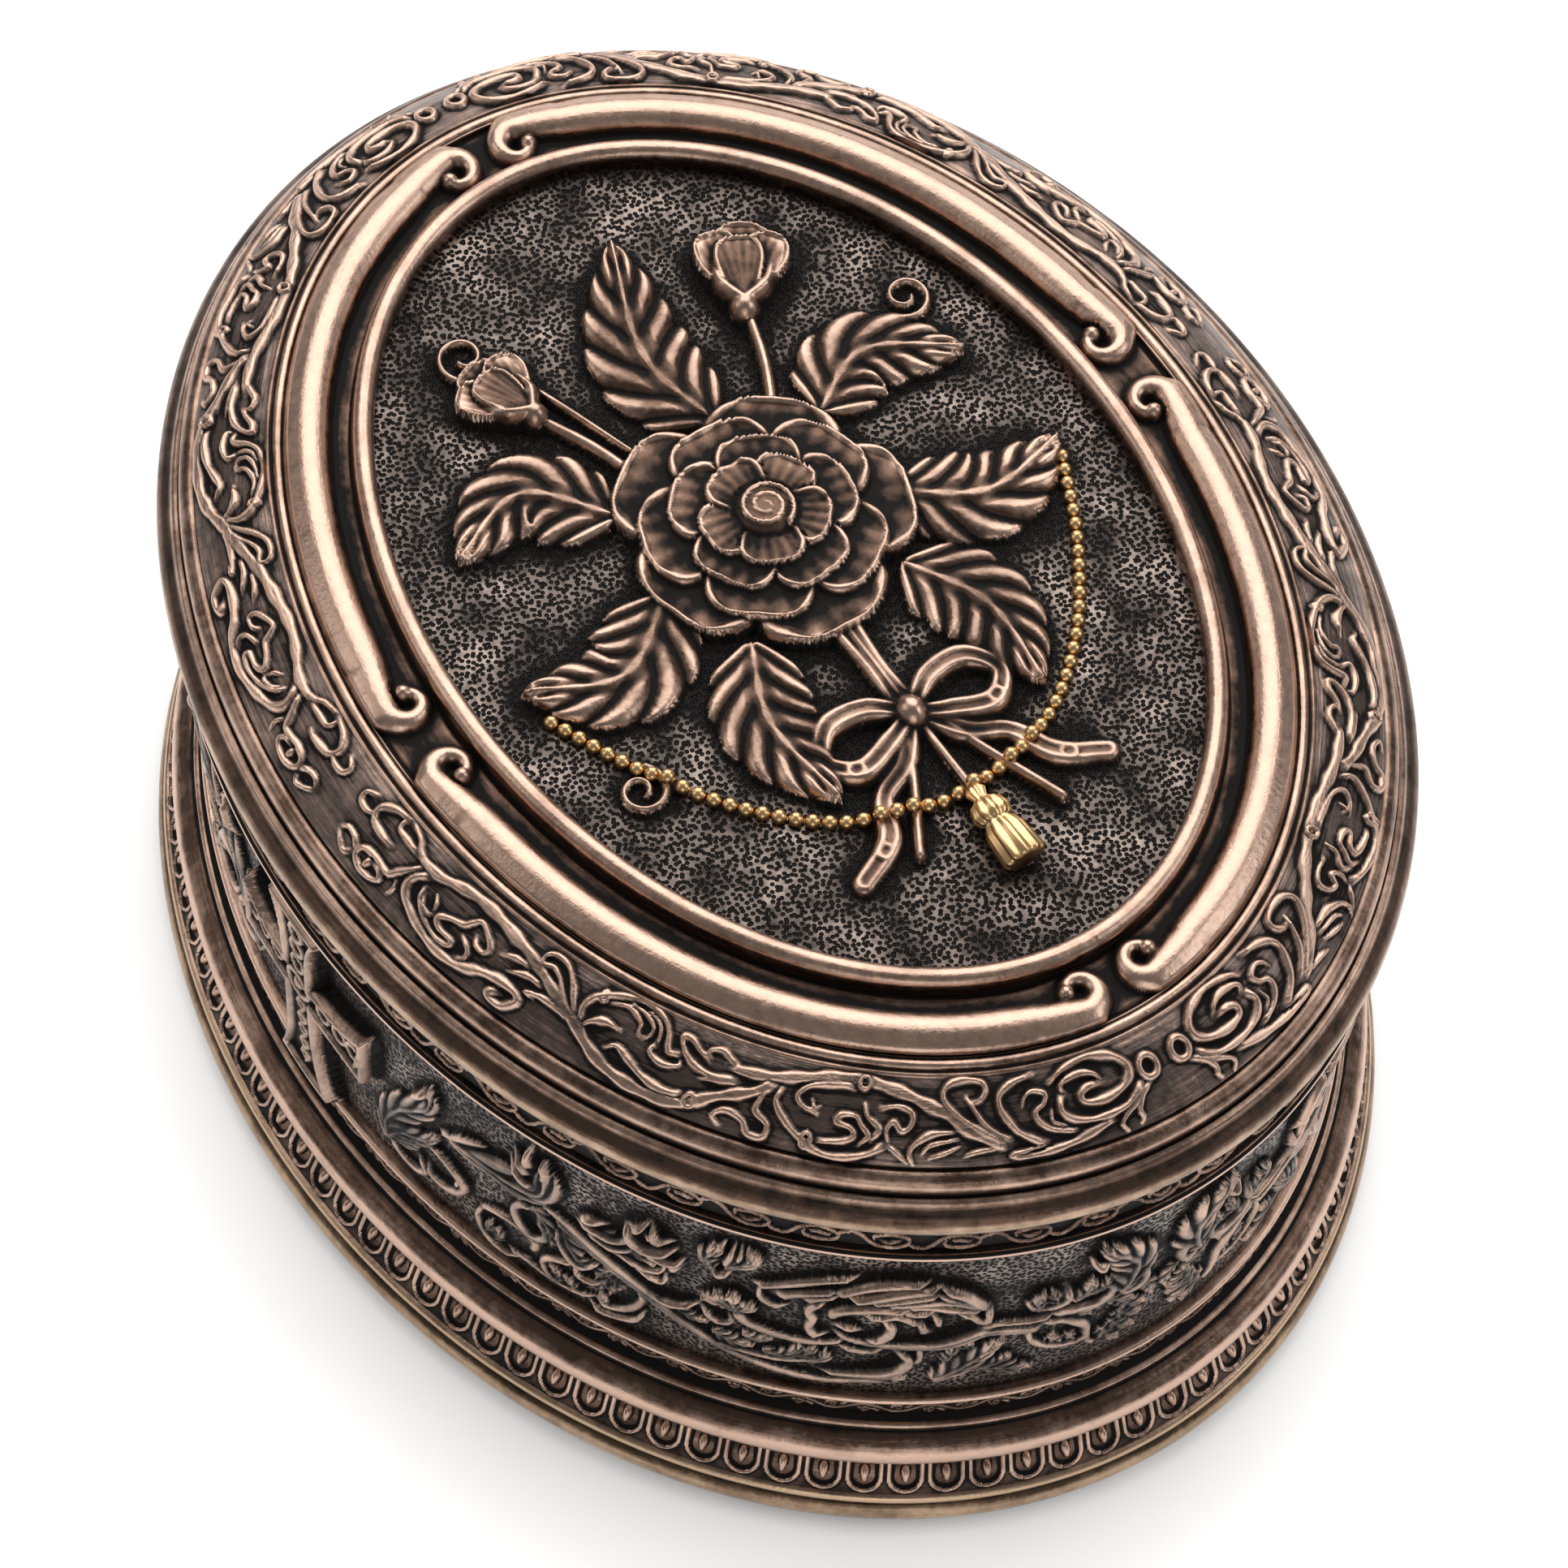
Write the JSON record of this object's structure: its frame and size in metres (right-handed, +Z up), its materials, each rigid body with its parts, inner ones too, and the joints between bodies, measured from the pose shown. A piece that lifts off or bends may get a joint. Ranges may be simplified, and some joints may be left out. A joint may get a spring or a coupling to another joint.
{
  "type": "trinket box",
  "caption": "Oval lidded trinket box of cast resin in antique bronze, with a relief panel, C-scroll frame, acanthus frieze and moulded foot; the lid lifts off.",
  "frame": {"origin": "centre of the footprint, on the surface that the felt stands on", "axes": "+X along the oval's long axis, +Y along its short axis, +Z up"},
  "size_m": [0.105, 0.084, 0.0523],
  "materials": {
    "cast_bronze_resin": "cold-cast bronze resin, dark patina in the recesses and rubbed copper highlights, satin",
    "dark_felt": "short black felt",
    "gilding": "gold paint on the raised beads of the lid"
  },
  "bodies": {
    "base": {"base_shell": "cast_bronze_resin", "foot_felt": "dark_felt", "floor_lining": "dark_felt", "wall_lining": "dark_felt"},
    "lid": {"lid_shell": "cast_bronze_resin", "lid_lining": "dark_felt"}
  },
  "joints": [
    {"name": "lid_lift", "type": "slide", "parent": "base", "child": "lid", "axis": [0, 0, 1], "range_m": [0, 0.06]}
  ]
}
